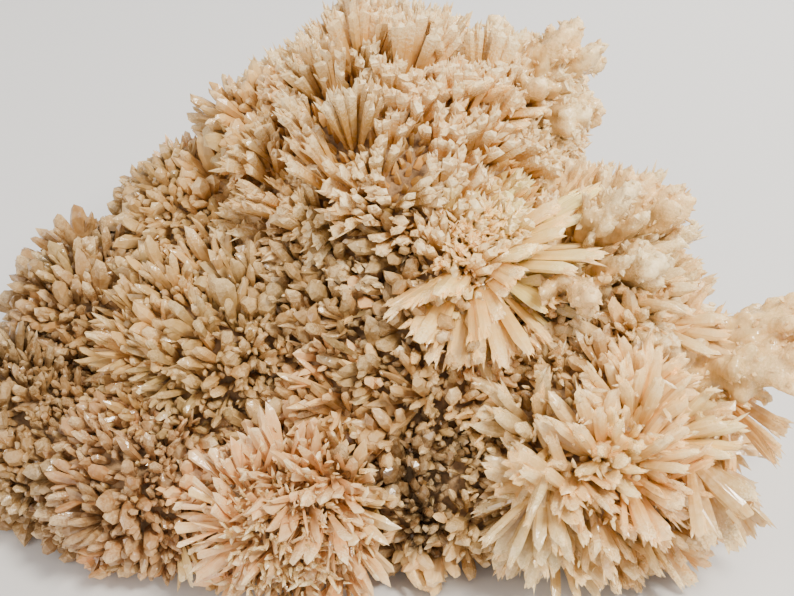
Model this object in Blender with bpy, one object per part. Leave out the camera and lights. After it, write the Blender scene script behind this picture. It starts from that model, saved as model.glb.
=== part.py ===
"""An aragonite cluster: round lobes of radiating crystals, grown together and broken off flat below.

The whole specimen grew as one piece, so it is one solid. Each lobe is a ball whose surface is parted into cells,
and one pointed crystal grows out of each cell. Long blades and blunt clubs spread in fans from some of the lobes.
Lengths are in millimetres until the solid is made. +Z is up, the photographed side faces -Y, and the origin is on
the flat face that the cluster rests on.
"""

import math

import bmesh
import bpy
import numpy as np
from mathutils import Matrix, Vector

MM = 0.001
SEED = 43
GOLDEN_ANGLE = math.pi * (3 - math.sqrt(5))

# Each lobe: its centre, the radius where its crystals are rooted, how far they reach past it, and their spacing.
LOBES = {
    "heart": dict(centre=(0, 4, 24), radius=43, reach=11.5, spacing=15.5),
    "crown": dict(centre=(0, 28, 62), radius=36, reach=13.5, spacing=16),
    "brow": dict(centre=(-33, 36, 73), radius=13, reach=8, spacing=13),
    "shoulder": dict(centre=(31, 38, 80), radius=12, reach=7, spacing=13),
    "rosette": dict(centre=(16, 2, 62), radius=18, reach=8, spacing=12.5),
    "right_wing": dict(centre=(46, 8, 45), radius=24, reach=12, spacing=14.5),
    "right_foot": dict(centre=(49, -27, 22), radius=29, reach=13, spacing=15),
    "valley": dict(centre=(8, -28, 14), radius=22, reach=9, spacing=13.5),
    "left_foot": dict(centre=(-26, -43, 17), radius=19, reach=10, spacing=13),
    "left_mound": dict(centre=(-46, -4, 32), radius=26, reach=11, spacing=14),
    "left_knob": dict(centre=(-54, 29, 53), radius=15, reach=8, spacing=13),
    "far_left": dict(centre=(-78, 14, 33), radius=19, reach=9, spacing=13.5),
    "left_end": dict(centre=(-94, -14, 16), radius=20, reach=9, spacing=13.5),
    "left_skirt": dict(centre=(-64, -33, 14), radius=19, reach=8, spacing=13),
}

# Each fan: the point it spreads from, its axis, how far out its crystals begin, the turns between which they stand
# about the axis (0 is to the right and 90 is up), and rings of them as (angle off the axis, count, reach, width).
FANS = {
    "sunburst": dict(
        origin=(18, -8, 66), axis=(0.05, -0.78, 0.62), begin=9, turns=(-165, 35), kind="blade",
        rings=[(88, 11, 34, 8), (62, 8, 32, 8.5), (34, 4, 28, 9)],
    ),
    "top_spray": dict(
        origin=(13, 32, 79), axis=(0.12, -0.1, 1), begin=12, turns=(-180, 180), kind="blade",
        rings=[(62, 9, 34, 12), (28, 3, 34, 12)],
    ),
    "top_clubs": dict(
        origin=(31, 38, 80), axis=(0.6, 0.05, 0.8), begin=8, turns=(-180, 180), kind="club",
        rings=[(54, 7, 24, 9.5), (14, 3, 27, 10)],
    ),
    "right_clubs": dict(
        origin=(40, 2, 54), axis=(0.88, -0.35, 0.24), begin=14, turns=(-180, 180), kind="club",
        rings=[(52, 7, 35, 10), (26, 4, 40, 12)],
    ),
    "right_arm": dict(
        origin=(50, -14, 37), axis=(0.86, -0.12, 0.25), begin=16, turns=(0, 360), kind="club",
        rings=[(7, 3, 54, 14)],
    ),
    "big_blades": dict(
        origin=(48, -25, 23), axis=(0.66, -0.7, 0.22), begin=20, turns=(-115, 55), kind="blade",
        rings=[(78, 7, 47, 12), (54, 6, 48, 12), (24, 3, 45, 12.5)],
    ),
}

# A fan crystal has a ring of corners at each (share of its length, share of its width), and its tip comes last.
PROFILES = {
    "blade": [(0, 0.6), (0.72, 1), (1, 0)],
    "club": [(0, 0.6), (0.7, 1), (0.93, 0.66), (1, 0)],
}
THICKNESS_SHARE = {"blade": 0.55, "club": 0.8}
SIDES = {"blade": 4, "club": 6}
FAN_TILT = 7
FAN_TURN = 4

# How lobe crystals vary, and where they are left as flat stubs or thinned out because nothing shows.
CELL_JITTER = 0.28
LEAN = 0.12
STUB = 1.5
STUB_SHARE = 0.45
SHORTEN_STEP = 1
FLOOR_GAP = 2
DEEP = 6
THINNING = 5

FLOOR_BLOCK = 400
COLOUR = (0.56, 0.41, 0.26, 1)
ROUGHNESS = 0.4


def spread_directions(count, rng):
    """Unit directions spread evenly over a sphere, each moved a little out of its place."""
    z = 1 - (2 * np.arange(count) + 1) / count
    turn = np.arange(count) * GOLDEN_ANGLE
    flat = np.sqrt(1 - z * z)
    found = np.stack([flat * np.cos(turn), flat * np.sin(turn), z], axis=1)
    found += rng.normal(0, CELL_JITTER / math.sqrt(count), found.shape)
    return found / np.linalg.norm(found, axis=1)[:, None]


def room_around(point, own_name):
    """How far a point is outside every other lobe, or below zero how deep it is in one."""
    rooms = []
    for name, lobe in LOBES.items():
        if name != own_name:
            rooms.append(np.linalg.norm(point - np.array(lobe["centre"])) - lobe["radius"])
    return min(rooms)


def lobe_crystals(name, rng):
    """One crystal for each cell of a lobe. Where there is no room for one, it is a low stub."""
    lobe = LOBES[name]
    centre = np.array(lobe["centre"])
    count = int(4 * math.pi * (lobe["radius"] + lobe["reach"]) ** 2 / lobe["spacing"] ** 2)
    found = []
    for number, axis in enumerate(spread_directions(count, rng)):
        direction = axis + rng.normal(0, LEAN, 3)
        direction /= np.linalg.norm(direction)
        length = lobe["reach"] * rng.uniform(0.7, 1.35)
        root = centre + axis * lobe["radius"]
        buried = max(-room_around(root, name), FLOOR_GAP - root[2])
        if buried > DEEP and number % THINNING:
            continue
        shortest = lobe["reach"] * STUB_SHARE
        while length > shortest:
            tip = root + direction * length
            if room_around(tip, name) > 0 and tip[2] > FLOOR_GAP:
                break
            length -= SHORTEN_STEP
        if buried > 0 or length <= shortest:
            length = STUB
        found.append(dict(axis=axis, direction=direction, length=length))
    return found


def cells_around(crystals):
    """The hull of the cell centres. Each face of it gives a corner, and each of its points one cell."""
    hull = bmesh.new()
    for crystal in crystals:
        hull.verts.new(crystal["axis"])
    bmesh.ops.convex_hull(hull, input=hull.verts)
    hull.verts.ensure_lookup_table()
    hull.faces.index_update()
    hull.normal_update()
    return hull


def add_lobe(bm, name, rng):
    """A ball parted into cells, each drawn out to a pointed crystal."""
    centre = Vector(LOBES[name]["centre"])
    crystals = lobe_crystals(name, rng)
    hull = cells_around(crystals)
    corners = []
    for face in hull.faces:
        corners.append(bm.verts.new(centre + face.normal * LOBES[name]["radius"]))
    for point, crystal in zip(hull.verts, crystals):
        loop = point.link_loops[0]
        base = []
        for _ in point.link_faces:
            base.append(corners[loop.face.index])
            loop = loop.link_loop_prev.link_loop_radial_next
        grow = Vector(crystal["direction"]) * crystal["length"]
        foot = sum((corner.co for corner in base), Vector()) / len(base)
        add_point(bm, base, foot + grow)
    hull.free()


def add_sides(bm, low, high):
    for i in range(len(low)):
        j = (i + 1) % len(low)
        bm.faces.new((low[i], low[j], high[j], high[i]))


def add_point(bm, ring, tip):
    tip = bm.verts.new(tip)
    for i in range(len(ring)):
        bm.faces.new((ring[i], ring[(i + 1) % len(ring)], tip))


def add_fan(bm, fan, rng):
    """A fan of long crystals, each one closed, that begin inside the lobe and reach out of it."""
    axis = Vector(fan["axis"]).normalized()
    right = Vector((0, 0, 1)).cross(axis).normalized()
    up = axis.cross(right)
    first, last = fan["turns"]
    for angle, count, reach, width in fan["rings"]:
        for i in range(count):
            turn = math.radians(first + (last - first) * (i + 0.5) / count + rng.uniform(-FAN_TURN, FAN_TURN))
            lean = math.radians(angle + rng.uniform(-FAN_TILT, FAN_TILT))
            outward = right * math.cos(turn) + up * math.sin(turn)
            direction = axis * math.cos(lean) + outward * math.sin(lean)
            root = Vector(fan["origin"]) + direction * fan["begin"]
            length = reach * rng.uniform(0.84, 1.12) - fan["begin"]
            size = width * rng.uniform(0.85, 1.15)
            add_fan_crystal(bm, fan["kind"], root, direction, length, size, rng.uniform(-0.6, 0.6))


def add_fan_crystal(bm, kind, root, direction, length, width, roll):
    side = Matrix.Rotation(roll, 3, direction) @ direction.orthogonal().normalized()
    across = direction.cross(side)
    thickness = width * THICKNESS_SHARE[kind]
    rings = []
    for along, scale in PROFILES[kind][:-1]:
        ring = []
        for i in range(SIDES[kind]):
            turn = 2 * math.pi * i / SIDES[kind]
            spot = side * math.cos(turn) * width + across * math.sin(turn) * thickness
            ring.append(bm.verts.new(root + direction * length * along + spot * scale / 2))
        rings.append(ring)
    bm.faces.new(rings[0][::-1])
    for low, high in zip(rings, rings[1:]):
        add_sides(bm, low, high)
    add_point(bm, rings[-1], root + direction * length)


def object_of(name, bm):
    bmesh.ops.scale(bm, vec=(MM, MM, MM), verts=bm.verts)
    mesh = bpy.data.meshes.new(name)
    bm.to_mesh(mesh)
    bm.free()
    obj = bpy.data.objects.new(name, mesh)
    bpy.context.scene.collection.objects.link(obj)
    return obj


def cut_or_join(obj, operation, tool):
    """Applies one step between an object and a tool, and takes the tool away."""
    step = obj.modifiers.new(tool.name, "BOOLEAN")
    step.operation = operation
    step.solver = "EXACT"
    step.use_self = True
    step.object = tool
    graph = bpy.context.evaluated_depsgraph_get()
    made = bpy.data.meshes.new_from_object(obj.evaluated_get(graph))
    obj.modifiers.clear()
    obj.data = made
    bpy.data.objects.remove(tool)


def shell_of(vert):
    """Every corner that can be reached along edges from one corner."""
    shell = {vert}
    waiting = [vert]
    while waiting:
        for edge in waiting.pop().link_edges:
            for other in edge.verts:
                if other not in shell:
                    shell.add(other)
                    waiting.append(other)
    return shell


def fill_pockets(obj):
    """Keeps the outer skin alone, so that the small pockets sealed in between crystals are filled."""
    bm = bmesh.new()
    bm.from_mesh(obj.data)
    lowest = min(bm.verts, key=lambda vert: vert.co.z)
    outer = shell_of(lowest)
    bmesh.ops.delete(bm, geom=[vert for vert in bm.verts if vert not in outer], context="VERTS")
    bm.to_mesh(obj.data)
    bm.free()


def stone_material():
    material = bpy.data.materials.new("aragonite")
    material.use_nodes = True
    shader = material.node_tree.nodes["Principled BSDF"]
    shader.inputs["Base Color"].default_value = COLOUR
    shader.inputs["Roughness"].default_value = ROUGHNESS
    shader.inputs["Metallic"].default_value = 0
    return material


def main():
    for obj in list(bpy.data.objects):
        bpy.data.objects.remove(obj)
    rng = np.random.default_rng(SEED)
    lobes = bmesh.new()
    for name in LOBES:
        add_lobe(lobes, name, rng)
    cluster = object_of("crystal_cluster", lobes)
    cluster.data.materials.append(stone_material())
    fans = bmesh.new()
    for fan in FANS.values():
        add_fan(fans, fan, rng)
    cut_or_join(cluster, "UNION", object_of("fan_crystals", fans))
    below = bmesh.new()
    bmesh.ops.create_cube(below, size=FLOOR_BLOCK, matrix=Matrix.Translation((0, 0, -FLOOR_BLOCK / 2)))
    cut_or_join(cluster, "DIFFERENCE", object_of("below_the_base", below))
    fill_pockets(cluster)


main()
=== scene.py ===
"""Aragonite cluster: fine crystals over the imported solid's lobes and fans, stone materials and a studio.

The frame's one solid has a stout pointed crystal for each bundle. Here every bundle is drawn as the clump of
fine crystals that it stands for, in the same place, direction and reach. Lengths are in millimetres until a
mesh is made, and the studio's are in metres.
"""
import math

import bmesh
import bpy
import mathutils.noise
import numpy as np
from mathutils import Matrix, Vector


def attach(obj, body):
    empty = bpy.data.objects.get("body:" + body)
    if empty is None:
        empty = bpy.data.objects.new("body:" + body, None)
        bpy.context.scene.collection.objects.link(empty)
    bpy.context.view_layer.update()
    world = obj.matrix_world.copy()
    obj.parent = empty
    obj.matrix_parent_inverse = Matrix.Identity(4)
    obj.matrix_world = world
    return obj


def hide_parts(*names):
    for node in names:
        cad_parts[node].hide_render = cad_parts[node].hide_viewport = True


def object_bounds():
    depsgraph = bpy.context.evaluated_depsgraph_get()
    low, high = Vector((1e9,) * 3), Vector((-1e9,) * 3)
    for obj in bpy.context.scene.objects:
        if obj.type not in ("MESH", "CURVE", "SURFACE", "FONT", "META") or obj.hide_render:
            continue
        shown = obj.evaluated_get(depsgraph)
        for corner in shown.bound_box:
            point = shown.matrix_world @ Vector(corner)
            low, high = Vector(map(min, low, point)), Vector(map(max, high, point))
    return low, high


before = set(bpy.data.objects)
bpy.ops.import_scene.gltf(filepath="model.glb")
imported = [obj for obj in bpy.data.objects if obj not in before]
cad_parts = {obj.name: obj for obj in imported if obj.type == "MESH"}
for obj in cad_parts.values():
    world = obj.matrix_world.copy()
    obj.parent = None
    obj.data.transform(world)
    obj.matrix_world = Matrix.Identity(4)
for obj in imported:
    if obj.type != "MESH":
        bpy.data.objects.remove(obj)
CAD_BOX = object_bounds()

MM = 0.001
SEED = 43
GOLDEN_ANGLE = math.pi * (3 - math.sqrt(5))

# The lobes of the frame's solid, in its own places and sizes. The rest is the render's alone: lean is the way
# their crystals lean, swirl how much they turn from one another, style how their clumps grow, tint the colour
# of the crystals' bodies (the valley's umber is painted shade, and the heart's honey is partly painted
# shade), and frost how much of their tips is crusted.
LOBES = {
    "heart": dict(
        centre=(0, 4, 24), radius=43, reach=11.5, spacing=15.5, lean=(-0.6, 0, 0.4),
        style="plump", tint="honey", frost=0.35,
    ),
    "crown": dict(
        centre=(0, 28, 62), radius=36, reach=13.5, spacing=16, lean=(0.05, 0.22, 0.5),
        style="spray", tint="amber", frost=0.75,
    ),
    "brow": dict(
        centre=(-33, 36, 73), radius=13, reach=8, spacing=13, lean=(-0.5, 0.12, 0.45),
        style="lance", tint="beige", frost=0.35,
    ),
    "shoulder": dict(
        centre=(31, 38, 80), radius=12, reach=7, spacing=13, lean=(0.25, 0.1, 0.4),
        style="spray", tint="cream", frost=0.8,
    ),
    "rosette": dict(
        centre=(16, 2, 62), radius=18, reach=8, spacing=12.5, lean=(0.0, 0.1, 0.35),
        style="spray", tint="gold", frost=0.5,
    ),
    "right_wing": dict(
        centre=(46, 8, 45), radius=24, reach=12, spacing=14.5, lean=(0.4, 0.0, 0.25),
        style="coral", tint="cream", frost=0.8,
    ),
    "right_foot": dict(
        centre=(49, -27, 22), radius=29, reach=13, spacing=15, lean=(0.35, -0.1, -0.3),
        style="plates", tint="tan", frost=0.45, swirl=1.5,
    ),
    "valley": dict(
        centre=(8, -28, 14), radius=22, reach=9, spacing=13.5, lean=(-0.25, 0, 0.6),
        # The valley's dark umber tint is painted shade for the gap between the lobes.
        style="plump", tint="umber", frost=0.15,
    ),
    "left_foot": dict(
        centre=(-26, -43, 17), radius=19, reach=10, spacing=13, lean=(0, 0.1, 0.15),
        style="needle", tint="rose", frost=0.4, swirl=1.3,
    ),
    "left_mound": dict(
        centre=(-46, -4, 32), radius=26, reach=11, spacing=14, lean=(-0.55, 0.15, 0.45),
        style="lance", tint="beige", frost=0.35,
    ),
    "left_knob": dict(
        centre=(-54, 29, 53), radius=15, reach=8, spacing=13, lean=(-0.5, 0.15, 0.5),
        style="lance", tint="beige", frost=0.35,
    ),
    "far_left": dict(
        centre=(-78, 14, 33), radius=19, reach=9, spacing=13.5, lean=(-0.5, 0.12, 0.45),
        style="lance", tint="dun", frost=0.3,
    ),
    "left_end": dict(
        centre=(-94, -14, 16), radius=20, reach=9, spacing=13.5, lean=(-0.5, 0, 0.4),
        style="lance", tint="dun", frost=0.25,
    ),
    "left_skirt": dict(
        centre=(-64, -33, 14), radius=19, reach=8, spacing=13, lean=(-0.45, 0, 0.3),
        style="lance", tint="clay", frost=0.25,
    ),
}
# Low mounds between lobes, in the render alone, so that the crystals run on over the joins.
FILLERS = {
    "skirt_gap": dict(
        centre=(-45, -35, 11), radius=14, reach=8, lean=(-0.45, 0.0, 0.4),
        style="lance", tint="clay", frost=0.25,
    ),
    "mound_gap": dict(
        centre=(-60, -19, 19), radius=15, reach=8, lean=(-0.5, 0.0, 0.45),
        style="lance", tint="beige", frost=0.3,
    ),
    "end_gap": dict(
        centre=(-80, -24, 12), radius=14, reach=8, lean=(-0.5, 0.0, 0.4),
        style="lance", tint="dun", frost=0.25,
    ),
    "knob_gap": dict(
        centre=(-50, 14, 42), radius=12, reach=8, lean=(-0.5, 0.1, 0.45),
        style="lance", tint="beige", frost=0.3,
    ),
    "foot_gap": dict(
        centre=(30, -28, 14), radius=15, reach=9, lean=(-0.3, 0.0, 0.5),
        style="plump", tint="honey", frost=0.3,
    ),
    "wing_gap": dict(
        centre=(52, -8, 36), radius=17, reach=9, lean=(0.4, 0.0, 0.1),
        style="coral", tint="cream", frost=0.8,
    ),
}
MOUNDS = {**LOBES, **FILLERS}
CENTRES = np.array([mound["centre"] for mound in MOUNDS.values()], float)
RADII = np.array([mound["radius"] for mound in MOUNDS.values()], float)

# The fans of the frame's solid. A ring is the angle from the fan's axis, the count, the reach and the width.
# Warm is how peach the tips of clubs are.
FANS = {
    "sunburst": dict(
        origin=(18, -8, 66), axis=(0.05, -0.78, 0.62), begin=9, turns=(-165, 35), kind="blade",
        rings=[(88, 11, 34, 8), (62, 8, 32, 8.5), (34, 4, 28, 9)], tint="gold", frost=0.35,
    ),
    "top_spray": dict(
        origin=(13, 32, 79), axis=(0.12, -0.1, 1), begin=12, turns=(-180, 180), kind="blade",
        rings=[(62, 9, 34, 12), (28, 3, 34, 12)], tint="amber", frost=0.85,
    ),
    "top_clubs": dict(
        origin=(31, 38, 80), axis=(0.6, 0.05, 0.8), begin=8, turns=(-180, 180), kind="club",
        rings=[(54, 7, 24, 9.5), (14, 3, 27, 10)], fingers=5,
    ),
    "right_clubs": dict(
        origin=(40, 2, 54), axis=(0.88, -0.35, 0.24), begin=14, turns=(-180, 180), kind="club",
        rings=[(52, 7, 35, 10), (26, 4, 40, 12)], fingers=5,
    ),
    "right_arm": dict(
        origin=(50, -14, 37), axis=(0.86, -0.12, 0.25), begin=16, turns=(0, 360), kind="club",
        rings=[(7, 3, 54, 14)], fingers=24, warm=0.9,
    ),
    "big_blades": dict(
        origin=(48, -25, 23), axis=(0.66, -0.7, 0.22), begin=20, turns=(-115, 55), kind="blade",
        rings=[(78, 7, 47, 12), (54, 6, 48, 12), (24, 3, 45, 12.5)], tint="tan", frost=0.3,
    ),
}
# How the frame's solid varies its crystals, and shortens those that would reach another lobe or the floor.
FAN_TILT = 7
FAN_TURN = 4
FAN_ROLL = 0.6
FAN_REACH = (0.84, 1.12)
FAN_WIDTH = (0.85, 1.15)
CELL_JITTER = 0.28
LEAN = 0.12
LOBE_REACH = (0.7, 1.35)
STUB = 1.5
STUB_SHARE = 0.45
SHORTEN_STEP = 1
FLOOR_GAP = 2
DEEP = 6
THINNING = 5

# Each piece of the render, and the mounds whose crystals it holds.
PIECES = {
    "left_crystals": ["left_mound", "left_knob", "far_left", "knob_gap"],
    "left_end_crystals": ["left_end", "left_skirt", "brow", "skirt_gap", "mound_gap", "end_gap"],
    "crown_crystals": ["crown"],
    "upper_crystals": ["shoulder", "rosette", "right_wing", "wing_gap"],
    "front_crystals": ["heart", "valley", "foot_gap"],
    "left_foot_crystals": ["left_foot"],
    "right_foot_crystals": ["right_foot"],
}
GLOWING_PIECE = "right_foot_crystals"

# Linear colours of crystal bodies, and of the crust on their tips. The valley's umber is painted shade for
# the gap between the lobes. The heart's honey is a honey amber darkened as painted shade for the hollows
# around the heart.
TINTS = {
    "amber": (0.78, 0.46, 0.14),
    "gold": (0.93, 0.605, 0.225),
    "honey": (0.44, 0.262, 0.094),
    "umber": (0.15, 0.075, 0.025),
    "cream": (0.82, 0.58, 0.26),
    "tan": (0.67, 0.42, 0.163),
    "beige": (0.57, 0.355, 0.128),
    "dun": (0.40, 0.22, 0.078),
    "clay": (0.41, 0.212, 0.084),
    "rose": (0.93, 0.55, 0.25),
}
TIP_WHITE = (0.96, 0.77, 0.45)
TIP_PEACH = (0.94, 0.62, 0.28)
TIP_PALE = (0.84, 0.62, 0.33)
BRIGHTEST = 0.95
BLOTCH_SIZE = 13.0
BLOTCH_AMOUNT = 0.13
# Right of TAN_FROM, plump clumps and their undergrowth take tan, so that the painted shade of the valley's
# and the heart's tints stays in the gaps on the left.
TAN_FROM = 14
TAN_FROST = 0.6
PEACH_SHARE = 0.07
FROST_TO_RIGHT = 0.01
# Painted light: the crown's brushes are made lighter towards the right, where the key lamp stands.
PAINTED_LIGHT_TO_RIGHT = 0.005

# How the mounds run into one another, and how evenly clumps and undergrowth cover them.
BLEND = 5.0
SETTLE_STEPS = 8
SETTLE_STRIDE = 0.85
VALLEY_DEPTH = 3.0
SWAY_SIZE = 9.0
SWAY_AMOUNT = 0.38
CLUMP_SPACING = 8.3
CLUMP_TRIES = 0.72
CLUMP_CLOSEST = (0.62, 0.85)
CLUMP_LOWEST = 2.5
CLUMP_REACH = (0.5, 0.95)
PLUMP_REACH = (0.65, 1.05)
UNDERGROWTH_SPACING = 2.8
UNDERGROWTH_LOWEST = 1.5
UNDERGROWTH_DEPTH = 2.0
UNDERGROWTH_LEAN = 0.7
BUNDLE_LEAN = 0.6
BUNDLE_SWIRL = 0.5
CLUMP_SWIRL = 1
HEART_DEPTH = 1.9
HEART_SWELL = 5
HEART_ROUGH = 0.008

# Limits for one crystal: how deep its foot sits, and what is too short, too low or outside the solid's box.
SUNK = 5.0
SHORTEST = 1.5
LOWEST_TIP = 0.8
FLOOR_CLEAR = 0.3
BOX_MARGIN = 1.2
BOX_LOW = np.array(CAD_BOX[0]) / MM - BOX_MARGIN
BOX_HIGH = np.array(CAD_BOX[1]) / MM + BOX_MARGIN

# Rings of a crystal as (share of its length, share of its width), before its tip.
PROFILES = {
    "leaf": [(0, 0.5), (0.52, 0.9), (0.76, 1.0), (0.91, 0.64)],
    "lance": [(0, 0.6), (0.62, 1.0), (0.84, 0.66)],
    "wedge": [(0, 0.4), (0.5, 0.75), (0.93, 1.0)],
    "blade": [(0, 0.6), (0.45, 0.9), (0.78, 1.0), (0.93, 0.62)],
    "jag": [(0, 0.9), (0.55, 0.8)],
    "club": [(0, 0.55), (0.3, 0.78), (0.58, 1.0), (0.76, 0.95), (0.88, 0.72), (0.96, 0.4)],
    "finger": [(0, 0.6), (0.45, 0.95), (0.7, 1.0), (0.88, 0.68)],
}
RING_SHIFT = 0.03
RING_SIZE = (0.94, 1.06)
LAST_RING = 0.985
SIDE_SIZE = (0.82, 1.16)
SIDE_TURN = 0.12
TIP_OFF = 0.22
GRAIN_SHIFT = 400

# A crystal's square cell of the texture map: its walls, its tip, and its foot as a flat oval below them.
CELL_EDGE = 0.06
WALL_START = 0.2
WALL_HEIGHT = 0.7
TIP_HEIGHT = 0.94
FOOT_CENTRE = (0.5, 0.1)
FOOT_SIZE = (0.4, 0.05)

# What the materials read at each vertex.
ATTRIBUTES = {
    "grain": "FLOAT_VECTOR",
    "tint": "FLOAT_VECTOR",
    "tip": "FLOAT_VECTOR",
    "frost": "FLOAT",
    "share": "FLOAT",
}

LEAF_PLUMPNESS = (0.85, 1.0, 1.15, 1.45)
LEAF_SHARE = 0.7
SPLIT_SHARE = 0.45
SPLIT_LOW = 0.45
JAG_LOW = 0.72
TALL_FROM = 8
WIDE_BLADE = 7.5
FOOT_PLATES_FROM = 42
FOOT_PLATES_BELOW = 35
WHITE_SHARE = 0.7
ARM_FROM = 30
CLUB_SUNK = 3
CLUB_VOXEL = 0.7
CLUB_TEETH = 800
CLUB_TEETH_FROM = 0.3
LUMP_SCALE = 0.32
LUMP_HEIGHT = 0.5
CRUMB_SCALE = 0.95
CRUMB_HEIGHT = 0.6
SINK = 0.15
CLUB_FROST = 0.9

# Grains on a lobe: the way they face, how far they spread and how many there are.
SUGAR = [
    ("rosette", (0.1, -0.75, 0.65), 0.3, 640),
    ("left_foot", (0, -0.8, 0.55), 0.5, 480),
    ("right_foot", (-0.3, -0.6, 0.75), 0.5, 260),
]
SUGAR_LOW = 0.45

CRYSTAL_IOR = 1.63
WAXY_ROUGHNESS = 0.2
GLOWING_ROUGHNESS = 0.18
GLOW = 0.6
GLOW_RADIUS = (1.0, 0.84, 0.62)
GLOW_SCALE = 0.0025
# Crystals darken towards their roots: partly their own browner base, partly painted shade deep in the clumps.
ROOT_BROWN_AND_PAINTED_SHADE = (0.80, 0.68, 0.48)
LINE_SHADE = (0.84, 0.74, 0.56)
LINE_STRETCH = (1.6, 1.6, 0.12)
CRUST_GRAINS = 1400
CLOUD_GRAINS = 520
HEART_GRAINS = 500
# The core's colours, kept dark as painted shade where it shows deep between the crystals.
HEART_DARK = (0.20, 0.11, 0.045)
HEART_LIGHT = (0.42, 0.25, 0.11)

FLOOR_SIZE = 2.4
FLOOR_COLOUR = (0.72, 0.71, 0.70, 1)
WORLD_COLOUR = (0.80, 0.82, 0.86, 1)
WORLD_STRENGTH = 0.85
LAMP_TARGET = (0, 0, 0.05)
LAMPS = [
    dict(name="key", place=(0.35, -0.28, 0.75), power=10.5, size=0.2, colour=(1.0, 0.94, 0.83)),
    dict(name="fill", place=(-0.70, -0.45, 0.35), power=4, size=0.5, colour=(1.0, 0.88, 0.76)),
    dict(name="rim", place=(0.45, 0.45, 0.45), power=5, size=0.3, colour=(1.0, 0.98, 0.95)),
]
CAMERA_ELEVATION = 38
CAMERA_TARGET = (0, 0, 0.048)
CAMERA_DISTANCE = 0.52
CAMERA_LENS = 94
CAMERA_SENSOR = 36


def unit(v):
    v = np.asarray(v, float)
    return v / np.linalg.norm(v, axis=-1, keepdims=True)


def spread_directions(count, rng):
    """Unit directions spread evenly over a sphere, each moved a little out of its place."""
    z = 1 - (2 * np.arange(count) + 1) / count
    turn = np.arange(count) * GOLDEN_ANGLE
    flat = np.sqrt(1 - z * z)
    found = np.stack([flat * np.cos(turn), flat * np.sin(turn), z], axis=1)
    found += rng.normal(0, CELL_JITTER / math.sqrt(count), found.shape)
    return found / np.linalg.norm(found, axis=1)[:, None]


def room_around(point, own_name):
    """How far a point is outside every other lobe, or below zero how deep it is in one."""
    rooms = []
    for name, lobe in LOBES.items():
        if name != own_name:
            rooms.append(np.linalg.norm(point - np.array(lobe["centre"])) - lobe["radius"])
    return min(rooms)


def lobe_bundles(name, rng):
    """One bundle for each crystal of a lobe of the frame's solid, in its place, direction and reach."""
    lobe = LOBES[name]
    centre = np.array(lobe["centre"])
    count = int(4 * math.pi * (lobe["radius"] + lobe["reach"]) ** 2 / lobe["spacing"] ** 2)
    found = []
    for number, axis in enumerate(spread_directions(count, rng)):
        direction = unit(axis + rng.normal(0, LEAN, 3))
        length = lobe["reach"] * rng.uniform(*LOBE_REACH)
        root = centre + axis * lobe["radius"]
        buried = max(-room_around(root, name), FLOOR_GAP - root[2])
        if buried > DEEP and number % THINNING:
            continue
        shortest = lobe["reach"] * STUB_SHARE
        while length > shortest:
            tip = root + direction * length
            if room_around(tip, name) > 0 and tip[2] > FLOOR_GAP:
                break
            length -= SHORTEN_STEP
        if buried > 0 or length <= shortest:
            length = STUB
        found.append(dict(root=root, direction=direction, length=length))
    return found


def fan_blades(fan, rng):
    """The long crystals of a fan of the frame's solid, in the same places."""
    axis = unit(fan["axis"])
    right = unit(np.cross((0, 0, 1), axis))
    up = np.cross(axis, right)
    first, last = fan["turns"]
    found = []
    for angle, count, reach, width in fan["rings"]:
        for i in range(count):
            turn = math.radians(first + (last - first) * (i + 0.5) / count + rng.uniform(-FAN_TURN, FAN_TURN))
            lean = math.radians(angle + rng.uniform(-FAN_TILT, FAN_TILT))
            outward = right * math.cos(turn) + up * math.sin(turn)
            direction = axis * math.cos(lean) + outward * math.sin(lean)
            root = np.array(fan["origin"]) + direction * fan["begin"]
            length = reach * rng.uniform(*FAN_REACH) - fan["begin"]
            size = width * rng.uniform(*FAN_WIDTH)
            roll = rng.uniform(-FAN_ROLL, FAN_ROLL)
            found.append(dict(root=root, direction=direction, length=length, width=size, roll=roll))
    return found


def surface(points):
    """How far points are outside the blended mounds, and which way is out there."""
    away = points[:, None] - CENTRES[None]
    far = np.linalg.norm(away, axis=2)
    gap = far - RADII
    least = gap.min(axis=1)
    weight = np.exp(-(gap - least[:, None]) / BLEND)
    distance = least - BLEND * np.log(weight.sum(axis=1))
    outward = unit((away / far[..., None] * weight[..., None]).sum(axis=1))
    return distance, outward


def settle(points, rays, above=0.0):
    """Moves points along their rays onto the blended mounds, or a little above or below them."""
    for _ in range(SETTLE_STEPS):
        distance, _ = surface(points)
        points = points - rays * ((distance - above) * SETTLE_STRIDE)[:, None]
    return points


def sway(point):
    """A slow drift in the way crystals lean, so that neighbours lean alike."""
    x, y, z = point / SWAY_SIZE
    return SWAY_AMOUNT * np.array([
        math.sin(x * 1.1 + 2.0 * math.sin(z * 0.7)),
        math.sin(y * 1.3 + 1.7 + 1.5 * math.sin(x * 0.8)),
        math.sin(z * 1.2 + 0.6 + 1.8 * math.sin(y * 0.9)),
    ])


def blotch(point):
    """A slow light and dark drift over the whole cluster, about 1 on average."""
    x, y, z = point / BLOTCH_SIZE
    waves = math.sin(x * 1.3 + 1.9 * math.sin(z * 0.8)) + math.sin(y * 1.1 + 2.2 * math.sin(x * 0.9))
    return 1 + BLOTCH_AMOUNT * waves


def vary(colour, rng, amount):
    """A colour made a little lighter or darker, and a little warmer or cooler."""
    level = 1 + rng.uniform(-amount, amount)
    warm = rng.uniform(-amount, amount) * 0.5
    return np.array(colour) * level * (1 + warm, 1, 1 - warm)


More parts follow.
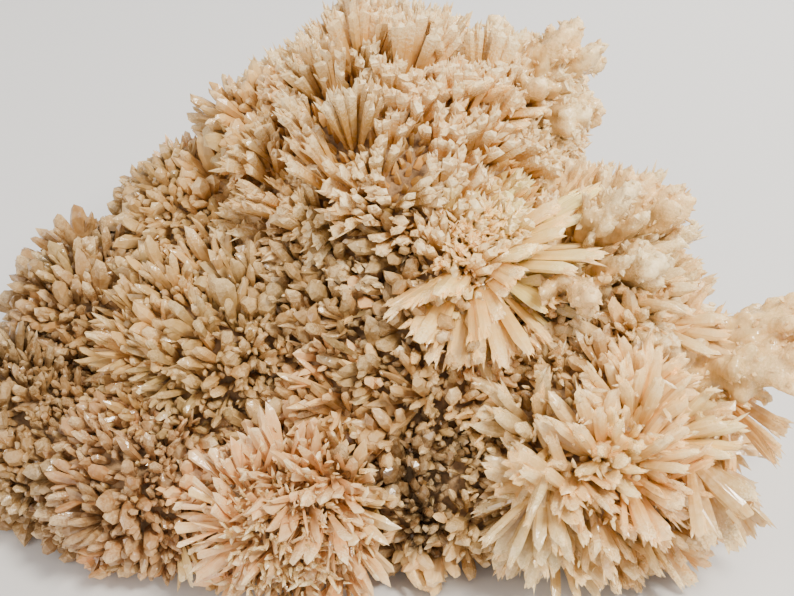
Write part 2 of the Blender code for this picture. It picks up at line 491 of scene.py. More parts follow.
def bare_spots(name, spacing, lowest, rng):
    """Points spread over a mound where no other mound covers it, and the rays that they lie on."""
    mound = MOUNDS[name]
    count = int(4 * math.pi * mound["radius"] ** 2 / spacing**2)
    rays = spread_directions(count, rng)
    roots = np.array(mound["centre"], float) + rays * mound["radius"]
    gaps = np.linalg.norm(roots[:, None] - CENTRES[None], axis=2) - RADII
    gaps[:, list(MOUNDS).index(name)] = np.inf
    free = (gaps.min(axis=1) > -VALLEY_DEPTH) & (roots[:, 2] > lowest)
    return roots[free], rays[free]


def clump_places(bundles, rng):
    """Roots and directions for clumps between the bundles, evenly spread over the blended mounds."""
    taken = [bundle["root"] for found in bundles.values() for bundle in found if bundle["length"] > STUB]
    places = {}
    for name in MOUNDS:
        found = []
        for root, ray in zip(*bare_spots(name, CLUMP_SPACING * CLUMP_TRIES, CLUMP_LOWEST, rng)):
            root = settle(root[None], ray[None])[0]
            apart = CLUMP_SPACING * rng.uniform(*CLUMP_CLOSEST)
            if np.min(np.linalg.norm(np.array(taken) - root, axis=1)) < apart:
                continue
            taken.append(root)
            found.append(dict(root=root, direction=surface(root[None])[1][0]))
        places[name] = found
    return places


def across_of(directions):
    """Two unit vectors at right angles to each direction."""
    helper = np.where(np.abs(directions[:, 2:]) > 0.9, (1.0, 0.0, 0.0), (0.0, 0.0, 1.0))
    side = unit(np.cross(helper, directions))
    return side, np.cross(directions, side)


def aside_of(direction, turn):
    """The unit vector at right angles to one direction, at a turn round it."""
    side, across = across_of(direction[None])
    return side[0] * math.cos(turn) + across[0] * math.sin(turn)


class Growth:
    """Crystals gathered for one piece, to be meshed together."""

    def __init__(self):
        self.rows = []

    def add(self, root, way, length, width, thin, roll, profile, sides, tint, tip, frost, bend=0.0, low=0.0):
        """Adds a crystal, cut short at the solid's box. Low is the share of its colours that it starts at."""
        end = root + way * length
        over = np.maximum(end - BOX_HIGH, 0) + np.maximum(BOX_LOW - end, 0)
        length -= float(np.max(over / np.maximum(np.abs(way), 0.3)))
        tint = np.clip(np.array(tint) * blotch(root), 0, BRIGHTEST)
        if length > SHORTEST and (root + way * length)[2] > LOWEST_TIP:
            self.rows.append(dict(
                root=root, way=way, length=length, width=width, thin=thin, roll=roll, profile=profile,
                sides=sides, tint=tint, tip=tip, frost=frost, bend=bend, low=low,
            ))


def crystal_points(rows, rings, sides, rng):
    """The vertices of crystals of one profile, ring by ring and then the tip, and their attributes."""
    def column(key):
        return np.array([row[key] for row in rows])

    n, levels = len(rows), len(rings)
    root, direction, length, width = column("root"), column("way"), column("length"), column("width")
    roll, bend, low = column("roll"), column("bend"), column("low")
    thick = width * column("thin")
    side, across = across_of(direction)
    flat = side * np.cos(roll)[:, None] + across * np.sin(roll)[:, None]
    edge = np.cross(direction, flat)

    ring_along = np.array([ring[0] for ring in rings])[None, :, None]
    ring_size = np.array([ring[1] for ring in rings])[None, :, None]
    along = ring_along + rng.normal(0, RING_SHIFT, (n, levels, sides))
    along[:, 0] = 0
    along = np.clip(along, 0, LAST_RING)
    size = ring_size * rng.uniform(*RING_SIZE, (n, levels, sides))
    size = size * rng.uniform(*SIDE_SIZE, (n, 1, sides))
    turn = 2 * math.pi * np.arange(sides) / sides + rng.normal(0, SIDE_TURN, (n, 1, sides))
    x = np.cos(turn) * size * width[:, None, None] / 2
    x = x + bend[:, None, None] * along**2 * length[:, None, None]
    y = np.sin(turn) * size * thick[:, None, None] / 2
    z = along * length[:, None, None]
    points = (
        root[:, None, None]
        + flat[:, None, None] * x[..., None]
        + edge[:, None, None] * y[..., None]
        + direction[:, None, None] * z[..., None]
    ).reshape(n, -1, 3)

    off = rng.uniform(-TIP_OFF, TIP_OFF, (n, 2))
    tip_x = off[:, 0] * width + bend * length
    tip_y = off[:, 1] * width * column("thin")
    tip = root + direction * length[:, None] + flat * tip_x[:, None] + edge * tip_y[:, None]
    points = np.concatenate([points, tip[:, None]], axis=1)
    points[..., 2] = np.maximum(points[..., 2], FLOOR_CLEAR)

    shift = rng.uniform(0, GRAIN_SHIFT, (n, 1, 3))
    grain = np.stack([x, y, z], axis=-1).reshape(n, -1, 3)
    grain = np.concatenate([grain, np.stack([tip_x, tip_y, length], axis=-1)[:, None]], axis=1) + shift
    share = np.concatenate([along.reshape(n, -1), np.ones((n, 1))], axis=1)
    share = low[:, None] + (1 - low[:, None]) * share
    each = points.shape[1]
    return points, dict(
        grain=grain.reshape(-1, 3),
        tint=np.repeat(column("tint"), each, axis=0),
        tip=np.repeat(column("tip"), each, axis=0),
        frost=np.repeat(column("frost"), each),
        share=share.ravel(),
    )


def prism_faces(levels, sides):
    """Faces of a prism of rings that ends in a point, and where their corners lie in its cell of the map."""
    def over(k):
        return CELL_EDGE + (1 - 2 * CELL_EDGE) * k / sides

    def up(level):
        return WALL_START + WALL_HEIGHT * level / levels

    faces, corners = [], []
    for level in range(levels - 1):
        low, high = level * sides, (level + 1) * sides
        for k in range(sides):
            j = (k + 1) % sides
            faces.append([low + k, low + j, high + j, high + k])
            corners.append([
                (over(k), up(level)), (over(k + 1), up(level)),
                (over(k + 1), up(level + 1)), (over(k), up(level + 1)),
            ])
    last = (levels - 1) * sides
    for k in range(sides):
        faces.append([last + k, last + (k + 1) % sides, levels * sides])
        middle = (over(k) + over(k + 1)) / 2
        corners.append([(over(k), up(levels - 1)), (over(k + 1), up(levels - 1)), (middle, TIP_HEIGHT)])
    faces.append(list(range(sides))[::-1])
    foot = []
    for k in range(sides):
        turn = 2 * math.pi * k / sides
        foot.append((
            FOOT_CENTRE[0] + FOOT_SIZE[0] * math.cos(turn),
            FOOT_CENTRE[1] + FOOT_SIZE[1] * math.sin(turn),
        ))
    corners.append(foot[::-1])
    return faces, corners


def write_attributes(mesh, values):
    for key, kind in ATTRIBUTES.items():
        layer = mesh.attributes.new(key, kind, "POINT")
        field = "vector" if kind == "FLOAT_VECTOR" else "value"
        layer.data.foreach_set(field, values[key].astype(np.float32).ravel())


def object_of(name, data):
    obj = bpy.data.objects.new(name, data)
    bpy.context.scene.collection.objects.link(obj)
    return obj


def mesh_of(name, growth, rng):
    """Meshes all crystals of a growth as closed prisms that end in a point, with their attributes and map."""
    groups = {}
    for row in growth.rows:
        groups.setdefault((row["profile"], row["sides"]), []).append(row)
    columns = math.ceil(math.sqrt(len(growth.rows)))
    places, faces, uvs, attributes = [], [], [], []
    first_vertex = 0
    first_cell = 0
    for (profile, sides), rows in groups.items():
        rings = PROFILES[profile]
        points, values = crystal_points(rows, rings, sides, rng)
        n, each = points.shape[:2]
        prism, corners = prism_faces(len(rings), sides)
        for i in range(n):
            base = first_vertex + i * each
            faces.extend([[base + v for v in face] for face in prism])
        cells = first_cell + np.arange(n)
        cell_corner = np.stack([cells % columns, cells // columns], axis=1)
        in_cell = np.array([corner for face in corners for corner in face])
        uvs.append(((in_cell[None] + cell_corner[:, None]) / columns).reshape(-1, 2))
        places.append(points.reshape(-1, 3))
        attributes.append(values)
        first_vertex += n * each
        first_cell += n
    mesh = bpy.data.meshes.new(name)
    mesh.from_pydata((np.concatenate(places) * MM).tolist(), [], faces)
    write_attributes(mesh, {key: np.concatenate([part[key] for part in attributes]) for key in ATTRIBUTES})
    layer = mesh.uv_layers.new(name="OFBake", do_init=False)
    layer.uv.foreach_set("vector", np.concatenate(uvs).astype(np.float32).ravel())
    return object_of(name, mesh)


def any_roll(rng):
    return rng.uniform(0, 3)


def add_leaves(growth, root, direction, length, look, rng, wide=(2.5, 4.2), splay=0.95, count=10, radius=2.0):
    """A clump of plump leaf-shaped crystals, the middle ones standing and the outer ones lying open."""
    tint = vary(TINTS["rose" if rng.random() < PEACH_SHARE else look["tint"]], rng, 0.14)
    twist = rng.uniform(0, 2 * math.pi)
    plump = rng.choice(LEAF_PLUMPNESS)
    count = max(5, round(count / plump))
    for i in range(count):
        out = math.sqrt((i + 0.15) / count)
        aside = aside_of(direction, twist + i * GOLDEN_ANGLE + rng.normal(0, 0.25))
        way = unit(direction + aside * out * splay + rng.normal(0, 0.09, 3))
        foot = root + aside * out * radius - direction * SUNK
        reach = length * (1 - 0.36 * out**1.6) * rng.uniform(0.78, 1.04) + SUNK
        width = rng.uniform(*wide) * (1.12 - 0.28 * out) * plump
        frost = np.clip(look["frost"] + rng.normal(0, 0.2), 0, 1)
        body = vary(tint, rng, 0.1)
        shape = "leaf" if rng.random() < LEAF_SHARE else "lance"
        growth.add(
            foot, way, reach, width, thin=rng.uniform(0.55, 0.85), roll=any_roll(rng), profile=shape, sides=6,
            tint=body, tip=TIP_PALE, frost=frost,
        )
        if rng.random() < SPLIT_SHARE:
            add_split(growth, foot, way, reach, width, body, frost, rng)


def add_split(growth, foot, way, reach, width, tint, frost, rng):
    """A smaller crystal that splits off a larger one part way up."""
    aside = aside_of(way, rng.uniform(0, 6.3))
    start = reach * rng.uniform(0.4, 0.65)
    at = foot + way * start + aside * width * 0.2
    lean = unit(way + aside * rng.uniform(0.25, 0.6))
    growth.add(
        at, lean, (reach - start) * rng.uniform(0.6, 0.95), width * rng.uniform(0.45, 0.7), thin=0.7,
        roll=any_roll(rng), profile="leaf", sides=5, tint=tint, tip=TIP_PALE, frost=frost, low=SPLIT_LOW,
    )


def add_jags(growth, foot, way, flat, reach, width, tint, frost, rng, count=3, tip=TIP_WHITE, first=0.68):
    """Small torn-looking teeth along the end of a blade."""
    for _ in range(count):
        place = rng.uniform(-0.5, 0.5)
        start = reach * rng.uniform(first, 0.92)
        at = foot + way * start + flat * place * width * 0.75
        lean = unit(way + flat * place * rng.uniform(0.1, 0.9) + rng.normal(0, 0.12, 3))
        room = max(reach - start, 1.6) * rng.uniform(0.8, 1.4)
        growth.add(
            at, lean, room, width * rng.uniform(0.28, 0.5), thin=0.7, roll=any_roll(rng), profile="jag",
            sides=4, tint=tint, tip=tip, frost=frost, low=JAG_LOW,
        )


def add_brush(growth, root, direction, length, look, rng, count=10, radius=4.5):
    """A brush of striated blades that widen outwards and end in one ragged crusted edge."""
    turn = rng.uniform(0, 2 * math.pi)
    long_side = aside_of(direction, turn)
    short_side = np.cross(direction, long_side)
    # Painted light: the brush is lighter towards the right, where the key lamp stands.
    light = np.clip(0.95 + root[0] * PAINTED_LIGHT_TO_RIGHT, 0.75, 1.05)
    tint = vary(TINTS[look["tint"]], rng, 0.13) * light
    slope = rng.uniform(-0.25, 0.25)
    for i in range(count):
        out = math.sqrt((i + 0.3) / count)
        angle = i * GOLDEN_ANGLE + rng.normal(0, 0.2)
        u, v = out * math.cos(angle), out * math.sin(angle) * 0.55
        aside = long_side * u + short_side * v
        way = unit(direction + aside * 0.42 + rng.normal(0, 0.045, 3))
        foot = root + aside * radius * 0.55 - direction * SUNK
        reach = length * (1 + slope * u - 0.12 * out) * rng.uniform(0.84, 1.0) + SUNK
        width = rng.uniform(2.8, 4.4)
        frost = np.clip(look["frost"] + root[0] * FROST_TO_RIGHT + rng.normal(0, 0.15), 0, 1)
        body = vary(tint, rng, 0.07)
        growth.add(
            foot, way, reach * 0.94, width, thin=0.6, roll=turn + rng.normal(0, 0.3), profile="wedge",
            sides=5, tint=body, tip=TIP_WHITE, frost=frost,
        )
        add_jags(growth, foot, way, long_side, reach, width, body, frost, rng)


def opened(root, direction, turn, i, count, radius, rough, rng):
    """How far out in its clump a blade stands, which way it points and where its foot is."""
    out = math.sqrt((i + 0.1) / count)
    aside = aside_of(direction, turn + i * GOLDEN_ANGLE)
    way = unit(direction + aside * out * 0.6 + rng.normal(0, rough, 3))
    return out, way, root + aside * out * radius * 0.6 - direction * SUNK


def add_plates(growth, root, direction, length, look, rng, count=7, wide=(3.4, 6.2), radius=4.5):
    """A clump of broad blades that fan open, with frosted teeth on their shoulders."""
    turn = rng.uniform(0, 2 * math.pi)
    tint = vary(TINTS[look["tint"]], rng, 0.1)
    for i in range(count):
        out, way, foot = opened(root, direction, turn, i, count, radius, 0.12, rng)
        reach = length * (1 - 0.35 * out) * rng.uniform(0.75, 1.1) + SUNK
        width = rng.uniform(*wide)
        frost = np.clip(look["frost"] + rng.normal(0, 0.25), 0, 1)
        body = vary(tint, rng, 0.08)
        roll = turn + rng.normal(0, 0.5)
        growth.add(
            foot, way, reach, width, thin=0.45, roll=roll, profile="blade", sides=6,
            tint=body, tip=TIP_WHITE, frost=frost, bend=rng.normal(0, 0.05),
        )
        flat = aside_of(way, roll)
        add_jags(growth, foot, way, flat, reach * 0.97, width, body, frost, rng, count=5, first=0.5)


def add_coral(growth, root, direction, length, look, rng, count=7, radius=4.0):
    """A clump of crusted fingers with torn edges over amber stems."""
    turn = rng.uniform(0, 2 * math.pi)
    tint = vary(TINTS["cream"], rng, 0.08)
    for i in range(count):
        out, way, foot = opened(root, direction, turn, i, count, radius, 0.08, rng)
        reach = length * (1 - 0.3 * out) * rng.uniform(0.8, 1.05) + SUNK
        width = rng.uniform(2.8, 4.8)
        roll = any_roll(rng)
        tip = TIP_WHITE if rng.random() < WHITE_SHARE else TIP_PEACH
        growth.add(
            foot, way, reach, width, thin=0.7, roll=roll, profile="finger", sides=7,
            tint=vary(tint, rng, 0.06), tip=tip, frost=look["frost"],
        )
        add_jags(growth, foot, way, aside_of(way, roll), reach, width, tint, look["frost"], rng, tip=tip)


def add_foot(growth, root, direction, length, look, rng):
    """Plates on the low right of the foot, and crusted fingers on its left and its top."""
    if root[0] < FOOT_PLATES_FROM or root[2] > FOOT_PLATES_BELOW:
        add_coral(growth, root, direction, length, look, rng)
    else:
        add_plates(growth, root, direction, length, look, rng)


def add_plump(growth, root, direction, length, look, rng):
    """A closer clump of leaf-shaped crystals that takes tan right of TAN_FROM, so that its mound's painted
    shade stays on the left.
    """
    if root[0] > TAN_FROM:
        look = {**look, "tint": "tan", "frost": TAN_FROST}
    add_leaves(growth, root, direction, length, look, rng, wide=(2.7, 4.3), splay=0.8, count=9)


def add_chisels(growth, root, direction, length, look, rng, count=15, radius=3.6, sunk=4.0):
    """Up to two tall lances among a tangle of thin bright plates."""
    tint = vary(TINTS[look["tint"]], rng, 0.12)
    for i in range(count):
        out = math.sqrt((i + 0.15) / count)
        aside = aside_of(direction, i * GOLDEN_ANGLE + rng.normal(0, 0.3))
        tall = i < 2 and length > TALL_FROM
        way = unit(direction + aside * out * 0.6 + rng.normal(0, 0.08 if tall else 0.34, 3))
        foot = root + aside * out * radius - direction * sunk
        reach = (length if tall else length * rng.uniform(0.45, 0.85)) + sunk
        width = rng.uniform(3.0, 4.4) if tall else rng.uniform(1.7, 3.6)
        frost = np.clip(look["frost"] + rng.normal(0, 0.3), 0, 1)
        shape = "lance" if tall or rng.random() < 0.5 else "wedge"
        thin = 0.6 if tall else rng.uniform(0.22, 0.4)
        growth.add(
            foot, way, reach, width, thin=thin, roll=any_roll(rng), profile=shape, sides=5,
            tint=vary(tint, rng, 0.1), tip=TIP_WHITE, frost=frost,
        )


CLUMPS = {
    "lance": add_leaves,
    "spray": add_brush,
    "needle": add_chisels,
    "plump": add_plump,
    "plates": add_foot,
    "coral": add_coral,
}


def add_undergrowth(growth, name, rng):
    """Small crystals that cover a mound between its clumps."""
    mound = MOUNDS[name]
    roots, rays = bare_spots(name, UNDERGROWTH_SPACING, UNDERGROWTH_LOWEST, rng)
    roots = settle(roots, rays, -UNDERGROWTH_DEPTH)
    outward = surface(roots)[1]
    shape = "leaf" if mound["style"] in ("plump", "lance") else "jag"
    for root, way in zip(roots, outward):
        lean = unit(way + sway(root) + UNDERGROWTH_LEAN * np.array(mound["lean"]) + rng.normal(0, 0.28, 3))
        # Right of TAN_FROM plump mounds take tan, so that their painted shade stays on the left.
        name_of_tint = "tan" if mound["style"] == "plump" and root[0] > TAN_FROM else mound["tint"]
        # The undergrowth is darkened a little as painted shade, since it stands low between the clumps.
        tint = vary(TINTS[name_of_tint], rng, 0.18) * 0.9
        growth.add(
            root, lean, rng.uniform(3.0, 5.6), rng.uniform(1.8, 3.0), thin=0.65, roll=any_roll(rng),
            profile=shape, sides=5, tint=tint, tip=TIP_PALE, frost=mound["frost"] * 0.7,
        )


def grow_mound(growth, name, bundles, places, rng):
    """Grows a mound's bundles, its undergrowth and the clumps between."""
    mound = MOUNDS[name]
    grow = CLUMPS[mound["style"]]
    lean = np.array(mound["lean"])
    for bundle in bundles:
        if bundle["length"] > STUB:
            tip = bundle["root"] + bundle["direction"] * bundle["length"]
            drift = mound.get("swirl", BUNDLE_SWIRL) * sway(bundle["root"])
            way = unit(bundle["direction"] + BUNDLE_LEAN * lean + drift)
            grow(growth, tip - way * bundle["length"], way, bundle["length"], mound, rng)
    add_undergrowth(growth, name, rng)
    for place in places:
        drift = mound.get("swirl", CLUMP_SWIRL) * sway(place["root"]) + rng.normal(0, 0.12, 3)
        way = unit(place["direction"] + lean + drift)
        length = mound["reach"] * rng.uniform(*(PLUMP_REACH if mound["style"] == "plump" else CLUMP_REACH))
        grow(growth, place["root"], way, length, mound, rng)


def add_blade(growth, blade, fan, rng):
    """A long blade drawn as two or three thin ones side by side, toothed along their ends."""
    tint = vary(TINTS[fan["tint"]], rng, 0.1)
    direction = blade["direction"]
    flat = aside_of(direction, blade["roll"])
    edge = np.cross(direction, flat)
    strips = 3 if blade["width"] > WIDE_BLADE else 2
    for i in range(strips):
        place = (i - (strips - 1) / 2) / strips
        width = blade["width"] * rng.uniform(0.36, 0.62)
        foot = blade["root"] + flat * place * blade["width"] * 0.55
        foot = foot + edge * rng.uniform(-0.14, 0.14) * blade["width"]
        way = unit(direction + flat * place * 0.42 + rng.normal(0, 0.04, 3))
        length = blade["length"] * (1 - 0.5 * abs(place) * rng.uniform(0.3, 1)) * rng.uniform(0.84, 1.0)
        frost = np.clip(fan["frost"] + rng.normal(0, 0.2), 0, 1)
        body = vary(tint, rng, 0.06)
        growth.add(
            foot, way, length, width, thin=0.5, roll=blade["roll"], profile="blade", sides=6,
            tint=body, tip=TIP_WHITE, frost=frost, bend=rng.normal(0, 0.03),
        )
        add_jags(growth, foot, way, flat, length, width, body, frost, rng, count=5)


def add_club(growth, club, fan, rng):
    """Stout rounded fingers grown together, to be fused into one lumpy mass. The longest bear short knobs."""
    direction, root = club["direction"], club["root"]
    growth.add(
        root - direction * CLUB_SUNK, direction, club["length"] + CLUB_SUNK, club["width"] * 0.74, thin=0.85,
        roll=0.0, profile="club", sides=10, tint=TINTS["cream"], tip=TIP_PEACH, frost=1.0,
    )
    for i in range(fan["fingers"]):
        aside = aside_of(direction, i * GOLDEN_ANGLE + rng.uniform(-0.4, 0.4))
        start = club["length"] * rng.uniform(-0.1, 0.62)
        foot = root + direction * start + aside * club["width"] * rng.uniform(0.12, 0.26)
        way = unit(direction + aside * rng.uniform(0.12, 0.55))
        length = max((club["length"] - start) * rng.uniform(0.55, 0.98), 5)
        width = club["width"] * rng.uniform(0.3, 0.56)
        if club["length"] > ARM_FROM:
            start = club["length"] * rng.uniform(0.0, 0.85)
            foot = root + direction * start + aside * club["width"] * 0.16
            way = unit(direction + aside * rng.uniform(0.35, 0.9))
            length = rng.uniform(7, 13)
            width = rng.uniform(4.0, 6.5)
        growth.add(
            foot, way, length, width, thin=0.85, roll=any_roll(rng), profile="club", sides=8,
            tint=TINTS["cream"], tip=TIP_PEACH, frost=1.0,
        )


def fused_mesh(name, growth, rng):
    """Meshes a growth and fuses its overlapping crystals into one closed mesh."""
    rough = mesh_of("rough_" + name, growth, rng)
    remesh = rough.modifiers.new("fuse", "REMESH")
    remesh.mode = "VOXEL"
    remesh.voxel_size = CLUB_VOXEL * MM
    view = bpy.context.evaluated_depsgraph_get()
    mesh = bpy.data.meshes.new_from_object(rough.evaluated_get(view))
    mesh.name = name
    bpy.data.objects.remove(rough)
    return mesh


def vectors_of(data, field):
    values = np.empty(len(data) * 3, np.float32)
    data.foreach_get(field, values)
    return values.reshape(-1, 3)


def fused_clubs(name, growth, clubs, rng):
    """The clubs as one crumbly crusted mass with its colours, and the small teeth that stand on it."""
    mesh = fused_mesh(name, growth, rng)
    count = len(mesh.vertices)
    places = vectors_of(mesh.vertices, "co") / MM
    normals = vectors_of(mesh.vertex_normals, "vector")
    lump = np.array([mathutils.noise.noise(Vector(p * LUMP_SCALE)) for p in places])
    crumb = np.array([mathutils.noise.noise(Vector(p * CRUMB_SCALE)) for p in places])
    height = lump * LUMP_HEIGHT + np.abs(crumb) * CRUMB_HEIGHT - SINK
    moved = places + normals * height[:, None]
    moved[:, 2] = np.maximum(moved[:, 2], FLOOR_CLEAR)
    mesh.vertices.foreach_set("co", (moved * MM).astype(np.float32).ravel())
    mesh.polygons.foreach_set("use_smooth", [True] * len(mesh.polygons))

    roots = np.array([club["root"] for club in clubs])
    ways = np.array([club["direction"] for club in clubs])
    lengths = np.array([club["length"] for club in clubs])
    along = np.einsum("vcx,cx->vc", places[:, None] - roots[None], ways)
    off = np.linalg.norm(places[:, None] - roots[None] - along[..., None] * ways[None], axis=2)
    off += np.abs(along - np.clip(along, 0, lengths)) * 2
    nearest = off.argmin(axis=1)
    share = along[np.arange(count), nearest] / lengths[nearest]
    warm = np.array([club["warm"] for club in clubs])[nearest][:, None]
    # Painted shade over a real mottled tone: the mass is darker where its lumps dip in and lighter where they
    # rise.
    body = np.array(TINTS["cream"]) * (0.9 + 0.25 * lump[:, None])
    tip = np.array(TIP_WHITE) * (1 - warm) + np.array(TIP_PEACH) * warm
    write_attributes(mesh, dict(
        grain=places, tint=body, tip=tip, frost=np.full(count, CLUB_FROST),
        share=np.clip(share * 0.9 + 0.12, 0, 1),
    ))

    teeth = Growth()
    for v in rng.choice(np.flatnonzero(share > CLUB_TEETH_FROM), CLUB_TEETH):
        way = unit(normals[v] + ways[nearest[v]] * rng.uniform(0.1, 0.9) + rng.normal(0, 0.2, 3))
        width = rng.uniform(1.0, 2.3)
        teeth.add(
            moved[v] - normals[v] * 0.9, way, rng.uniform(1.6, 2.7), width, thin=0.8, roll=any_roll(rng),
            profile="jag", sides=5, tint=body[v], tip=tip[v], frost=CLUB_FROST,
            low=float(np.clip(share[v], CLUB_TEETH_FROM, 0.8)),
        )
    return object_of(name, mesh), teeth


def sugar(rng):
    """Loose bright grains over the middle of the sunburst and of the two feet."""
    grains = Growth()
    for lobe_name, toward, spread, count in SUGAR:
        lobe = LOBES[lobe_name]
        centre = np.array(lobe["centre"], float)
        for _ in range(count):
            ray = unit(unit(toward) + rng.normal(0, spread, 3))
            at = centre + ray * (lobe["radius"] + rng.uniform(0.1, 0.7) * lobe["reach"])
            way = unit(ray + rng.normal(0, 0.6, 3))
            width = rng.uniform(0.8, 1.7)
            grains.add(
                at, way, width * rng.uniform(1.4, 3.0), width, thin=rng.uniform(0.4, 0.9), roll=any_roll(rng),
                profile="jag", sides=5, tint=vary(TINTS["cream"], rng, 0.15), tip=TIP_WHITE, frost=0.9,
                low=SUGAR_LOW,
            )
    return grains


def heart_mesh(rng):
    """The rough hearts of the blended mounds, flat at the base, seen only deep between the crystals."""
    bm = bmesh.new()
    for mound in MOUNDS.values():
        ball = bmesh.new()
        bmesh.ops.create_icosphere(ball, subdivisions=4, radius=1)
        rays = unit(np.array([vert.co for vert in ball.verts]))
        centre = np.array(mound["centre"], float)
        points = settle(centre + rays * mound["radius"], rays, -HEART_DEPTH)
        far = np.minimum(np.linalg.norm(points - centre, axis=1), mound["radius"] + HEART_SWELL)
        points = centre + rays * (far * (1 + rng.normal(0, HEART_ROUGH, len(rays))))[:, None]
        for vert, point in zip(ball.verts, points):
            vert.co = point
        cut = bmesh.ops.bisect_plane(
            ball, geom=ball.verts[:] + ball.edges[:] + ball.faces[:], plane_co=(0, 0, 0),
            plane_no=(0, 0, -1), clear_outer=True,
        )
        rim = [e for e in cut["geom_cut"] if isinstance(e, bmesh.types.BMEdge)]
        if rim:
            bmesh.ops.contextual_create(ball, geom=rim)
        mesh = bpy.data.meshes.new("heart")
        ball.to_mesh(mesh)
        ball.free()
        bm.from_mesh(mesh)
        bpy.data.meshes.remove(mesh)
    bmesh.ops.scale(bm, vec=(MM, MM, MM), verts=bm.verts)
    mesh = bpy.data.meshes.new("lobe_hearts")
    bm.to_mesh(mesh)
    bm.free()
    return object_of("lobe_hearts", mesh)


def noise(tree, vector, scale, detail, roughness=0.55):
    node = tree.nodes.new("ShaderNodeTexNoise")
    node.inputs["Scale"].default_value = scale
    node.inputs["Detail"].default_value = detail
    node.inputs["Roughness"].default_value = roughness
    tree.links.new(vector, node.inputs["Vector"])
    return node.outputs["Fac"]


def remap(tree, value, from_low, from_high, to_low, to_high):
    node = tree.nodes.new("ShaderNodeMapRange")
    node.inputs["From Min"].default_value = from_low
    node.inputs["From Max"].default_value = from_high
    node.inputs["To Min"].default_value = to_low
    node.inputs["To Max"].default_value = to_high
    tree.links.new(value, node.inputs["Value"])
    return node.outputs["Result"]


def maths(tree, operation, a, b):
    node = tree.nodes.new("ShaderNodeMath")
    node.operation = operation
    for socket, value in zip(node.inputs, (a, b)):
        if isinstance(value, (int, float)):
            socket.default_value = value
        else:
            tree.links.new(value, socket)
    return node.outputs[0]


def blend(tree, factor, a, b, kind="MIX"):
    """Mixes two colours. The node's colour sockets are its seventh and eighth, and its third output."""
    node = tree.nodes.new("ShaderNodeMix")
    node.data_type = "RGBA"
    node.blend_type = kind
    for socket, value in zip((node.inputs[0], node.inputs[6], node.inputs[7]), (factor, a, b)):
        if isinstance(value, tuple):
            socket.default_value = (*value, 1)
        else:
            tree.links.new(value, socket)
    return node.outputs[2]


def bump(tree, shader, height, strength, distance):
    node = tree.nodes.new("ShaderNodeBump")
    node.inputs["Strength"].default_value = strength
    node.inputs["Distance"].default_value = distance
    tree.links.new(height, node.inputs["Height"])
    tree.links.new(node.outputs["Normal"], shader.inputs["Normal"])


def new_material(name):
    material = bpy.data.materials.new(name)
    material.use_nodes = True
    return material, material.node_tree, material.node_tree.nodes["Principled BSDF"]


def stone(name, glow, roughness):
    """Waxy crystal: striated and cloudy, browner at the root partly as its own colour and partly as painted
    shade deep in the clumps, and crusted towards the tip.
    """
    material, tree, shader = new_material(name)

    def attribute(key, output):
        node = tree.nodes.new("ShaderNodeAttribute")
        node.attribute_name = key
        return node.outputs[output]

    grain = attribute("grain", "Vector")
    tint = attribute("tint", "Vector")
    tip = attribute("tip", "Vector")
    frost = attribute("frost", "Fac")
    share = attribute("share", "Fac")
    place = tree.nodes.new("ShaderNodeTexCoord").outputs["Object"]

    stretch = tree.nodes.new("ShaderNodeVectorMath")
    stretch.operation = "MULTIPLY"
    stretch.inputs[1].default_value = LINE_STRETCH
    tree.links.new(grain, stretch.inputs[0])
    lines = noise(tree, stretch.outputs[0], 1.0, 1)
    crumb = noise(tree, place, CRUST_GRAINS, 1, 0.7)

    # Darkens each crystal towards its root, partly its own browner base and partly painted shade deep in the
    # clumps.
    deep = blend(tree, remap(tree, share, 0.1, 0.75, 1, 0), tint, ROOT_BROWN_AND_PAINTED_SHADE, "MULTIPLY")
    lined = blend(tree, remap(tree, lines, 0.35, 0.65, 0, 0.6), deep, LINE_SHADE, "MULTIPLY")
    edge = maths(tree, "ADD", share, remap(tree, crumb, 0.3, 0.7, -0.16, 0.16))
    white = remap(tree, edge, 0.62, 0.98, 0, 1)
    crust = maths(tree, "MULTIPLY", white, frost)
    cloud = remap(tree, noise(tree, place, CLOUD_GRAINS, 2), 0.42, 0.68, 0, 0.26)
    clouded = blend(tree, cloud, lined, tip)
    tree.links.new(blend(tree, crust, clouded, tip), shader.inputs["Base Color"])
    dull = maths(tree, "ADD", crust, lines)
    rough = remap(tree, dull, 0.4, 1.4, roughness - 0.1, roughness + 0.3)
    tree.links.new(rough, shader.inputs["Roughness"])
    relief = maths(tree, "ADD", maths(tree, "MULTIPLY", lines, 0.25), maths(tree, "MULTIPLY", crumb, crust))
    bump(tree, shader, relief, 0.45, 0.0005)

    shader.inputs["IOR"].default_value = CRYSTAL_IOR
    shader.inputs["Subsurface Weight"].default_value = glow
    shader.inputs["Subsurface Radius"].default_value = GLOW_RADIUS
    shader.inputs["Subsurface Scale"].default_value = GLOW_SCALE
    shader.subsurface_method = "BURLEY"
    return material


def heart_stone_and_shade():
    """Dull brown stone with fine flecks, the cluster's core, kept dark as painted shade where it shows deep
    between the crystals.
    """
    material, tree, shader = new_material("heart_stone_and_shade")
    place = tree.nodes.new("ShaderNodeTexCoord").outputs["Object"]
    fleck = noise(tree, place, HEART_GRAINS, 5)
    colour = blend(tree, remap(tree, fleck, 0.35, 0.65, 0, 1), HEART_DARK, HEART_LIGHT)
    tree.links.new(colour, shader.inputs["Base Color"])
    shader.inputs["Roughness"].default_value = 0.7
    bump(tree, shader, fleck, 0.6, 0.001)
    return material


def finish_piece(obj, material):
    obj.data.materials.append(material)
    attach(obj, "root")
    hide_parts("crystal_cluster")


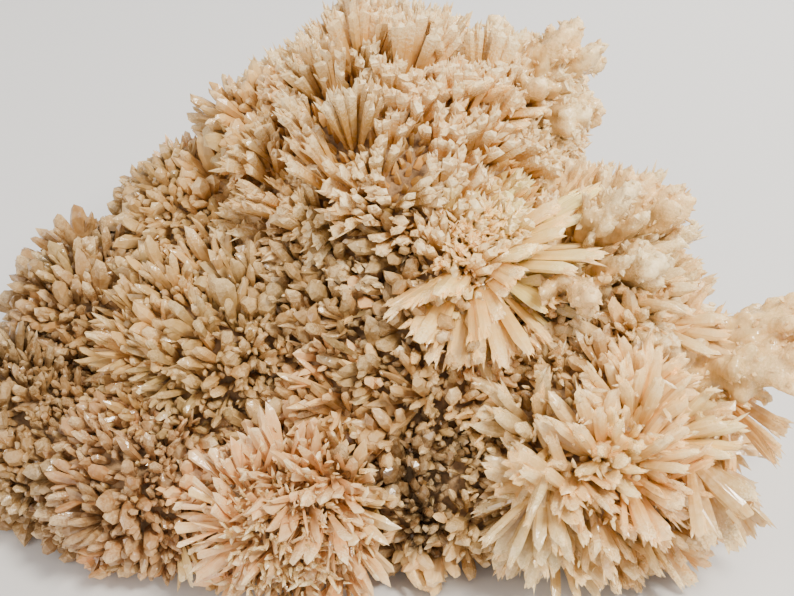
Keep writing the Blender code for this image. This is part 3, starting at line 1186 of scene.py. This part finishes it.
def build_cluster():
    frame_rng = np.random.default_rng(SEED)
    bundles = {name: lobe_bundles(name, frame_rng) for name in LOBES}
    blades = {name: fan_blades(fan, frame_rng) for name, fan in FANS.items()}
    rng = np.random.default_rng(SEED + 1)
    places = clump_places(bundles, rng)
    waxy = stone("aragonite", 0.0, WAXY_ROUGHNESS)
    glowing = stone("aragonite_glowing", GLOW, GLOWING_ROUGHNESS)
    for piece, names in PIECES.items():
        growth = Growth()
        for name in names:
            grow_mound(growth, name, bundles.get(name, []), places[name], rng)
        finish_piece(mesh_of(piece, growth, rng), glowing if piece == GLOWING_PIECE else waxy)

    long_blades = Growth()
    clubs = Growth()
    for name, fan in FANS.items():
        for blade in blades[name]:
            if fan["kind"] == "blade":
                add_blade(long_blades, blade, fan, rng)
            else:
                add_club(clubs, blade, fan, rng)
    finish_piece(mesh_of("long_blades", long_blades, rng), glowing)

    stems = []
    for name, fan in FANS.items():
        if fan["kind"] == "club":
            for club in blades[name]:
                warm = rng.uniform(0, 1)
                stems.append(dict(club, warm=fan.get("warm", warm)))
    masses, teeth = fused_clubs("pale_clubs", clubs, stems, rng)
    finish_piece(masses, glowing)
    finish_piece(mesh_of("club_teeth", teeth, rng), waxy)
    finish_piece(mesh_of("sugar_grains", sugar(rng), rng), glowing)
    finish_piece(heart_mesh(rng), heart_stone_and_shade())


def aim(obj, place, way):
    """Puts a lamp or the camera in its place, looking along a way."""
    obj.location = place
    obj.rotation_mode = "QUATERNION"
    obj.rotation_quaternion = way.to_track_quat("-Z", "Y")


def studio():
    bpy.ops.mesh.primitive_plane_add(size=FLOOR_SIZE)
    floor = bpy.context.object
    floor.name = "floor"
    material, _, shader = new_material("floor")
    shader.inputs["Base Color"].default_value = FLOOR_COLOUR
    shader.inputs["Roughness"].default_value = 0.8
    floor.data.materials.append(material)

    world = bpy.data.worlds.new("studio")
    bpy.context.scene.world = world
    world.use_nodes = True
    sky = world.node_tree.nodes["Background"]
    sky.inputs["Color"].default_value = WORLD_COLOUR
    sky.inputs["Strength"].default_value = WORLD_STRENGTH

    for lamp in LAMPS:
        light = bpy.data.lights.new(lamp["name"], "AREA")
        light.energy = lamp["power"]
        light.size = lamp["size"]
        light.color = lamp["colour"]
        aim(object_of(lamp["name"], light), lamp["place"], Vector(LAMP_TARGET) - Vector(lamp["place"]))


def camera():
    elevation = math.radians(CAMERA_ELEVATION)
    back = Vector((0, -math.cos(elevation), math.sin(elevation)))
    data = bpy.data.cameras.new("camera")
    data.lens = CAMERA_LENS
    data.sensor_width = CAMERA_SENSOR
    eye = object_of("camera", data)
    aim(eye, Vector(CAMERA_TARGET) + back * CAMERA_DISTANCE, -back)
    bpy.context.scene.camera = eye


build_cluster()
studio()
camera()
